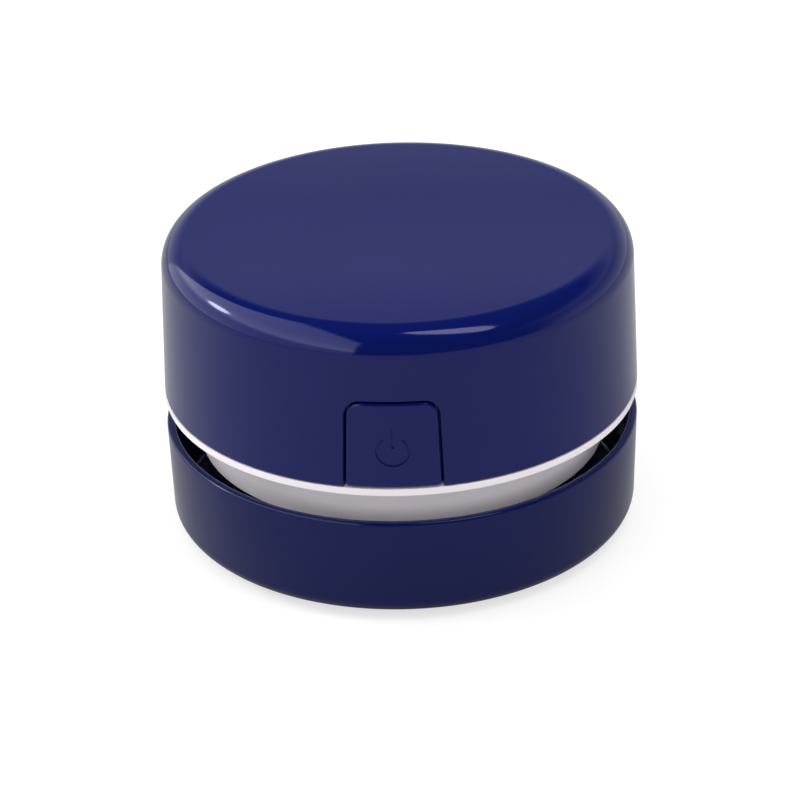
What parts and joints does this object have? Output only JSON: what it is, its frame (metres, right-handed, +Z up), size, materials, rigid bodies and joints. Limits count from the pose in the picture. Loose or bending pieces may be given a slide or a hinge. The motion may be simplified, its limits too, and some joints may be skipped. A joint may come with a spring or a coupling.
{
  "type": "desktop mini vacuum cleaner",
  "caption": "Round battery-powered desktop vacuum: navy casing with a tab-shaped power button, white deck and skirt, open exhaust gap, and a dust base with a brush ring.",
  "frame": {"origin": "centre of the round footprint, on the desk under the glide feet", "axes": "+Z up along the fan axis; the power button faces -Y; +X is to the right seen from the button's side"},
  "size_m": [0.084, 0.084, 0.0545],
  "materials": {
    "casing_blue": "glossy navy ABS",
    "button_blue": "glossy navy ABS",
    "base_blue": "satin-gloss navy ABS",
    "deck_white": "white ABS",
    "cup_black": "black ABS",
    "screw_steel": "zinc-plated steel",
    "foot_grey": "moulded acetal",
    "brush_backing": "moulded nylon",
    "bristle_nylon": "nylon filament",
    "seal_rubber": "nitrile rubber",
    "filter_white": "white ABS",
    "mesh_nylon": "woven nylon mesh",
    "foam_grey": "open-cell foam",
    "fan_plate_black": "black ABS",
    "motor_steel": "plated steel can",
    "end_cap_nylon": "natural nylon",
    "bush_bronze": "sintered bronze",
    "magnet_ferrite": "ferrite",
    "terminal_brass": "brass tag",
    "clamp_white": "white ABS",
    "tray_black": "black ABS",
    "cell_wrap": "plain shrink wrap over a steel cell",
    "contact_steel": "nickel-plated spring steel",
    "board_green": "glass-epoxy board",
    "switch_black": "moulded switch body",
    "plunger_white": "moulded acetal",
    "wire_red": "PVC insulation",
    "wire_black": "PVC insulation",
    "impeller_white": "white ABS",
    "shaft_steel": "ground steel",
    "core_steel": "stacked steel laminations",
    "coil_copper": "enamelled copper wire",
    "commutator_copper": "copper segments"
  },
  "bodies": {
    "dust_base": {"base_bowl": "base_blue", "dust_cup": "cup_black", "cup_screws": "screw_steel", "glide_feet": "foot_grey", "brush_ring": "brush_backing", "brush_tufts": "bristle_nylon", "seal_ring": "seal_rubber"},
    "filter_cartridge": {"filter_frame": "filter_white", "filter_mesh": "mesh_nylon", "filter_foam": "foam_grey"},
    "drive_unit": {"chassis": "deck_white", "fan_plate": "fan_plate_black", "fan_plate_screws": "screw_steel", "motor_can": "motor_steel", "motor_end_cap": "end_cap_nylon", "motor_front_bush": "bush_bronze", "motor_rear_bush": "bush_bronze", "motor_magnets": "magnet_ferrite", "motor_terminals": "terminal_brass", "motor_brushes": "terminal_brass", "motor_clamp": "clamp_white", "motor_clamp_screws": "screw_steel", "battery_tray": "tray_black", "battery_tray_screws": "screw_steel", "battery_left": "cell_wrap", "battery_right": "cell_wrap", "battery_springs": "contact_steel", "contact_bridge": "contact_steel", "contact_positive": "contact_steel", "contact_negative": "contact_steel", "switch_board": "board_green", "switch_body": "switch_black", "switch_board_screws": "screw_steel", "wire_positive": "wire_red", "wire_negative": "wire_black", "wire_motor": "wire_red"},
    "switch_plunger_body": {"switch_plunger": "plunger_white"},
    "fan_rotor": {"impeller": "impeller_white", "motor_shaft": "shaft_steel", "armature_core": "core_steel", "armature_coils": "coil_copper", "commutator": "commutator_copper"},
    "casing": {"top_casing": "casing_blue", "button_retainer": "tray_black", "button_retainer_screws": "screw_steel"},
    "button": {"power_button": "button_blue"}
  },
  "joints": [
    {"name": "filter_lift", "type": "slide", "parent": "dust_base", "child": "filter_cartridge", "axis": [0, 0, 1], "range_m": [0, 0.012]},
    {"name": "body_lift", "type": "slide", "parent": "filter_cartridge", "child": "drive_unit", "axis": [0, 0, 1], "range_m": [0, 0.03]},
    {"name": "casing_lift", "type": "slide", "parent": "drive_unit", "child": "casing", "axis": [0, 0, 1], "range_m": [0, 0.03]},
    {"name": "button_press", "type": "slide", "parent": "casing", "child": "button", "axis": [0, 1, 0], "range_m": [0, 0.0012], "stiffness_N_per_m": 900},
    {"name": "plunger_slide", "type": "slide", "parent": "drive_unit", "child": "switch_plunger_body", "axis": [0, 1, 0], "range_m": [0, 0.0012]},
    {"name": "fan_spin", "type": "hinge", "parent": "drive_unit", "child": "fan_rotor", "pos_m": [0, 0, 0.021], "axis": [0, 0, 1], "continuous": true}
  ],
  "couplings": [
    {"joint": "plunger_slide", "follows": "button_press", "ratio": 1}
  ]
}
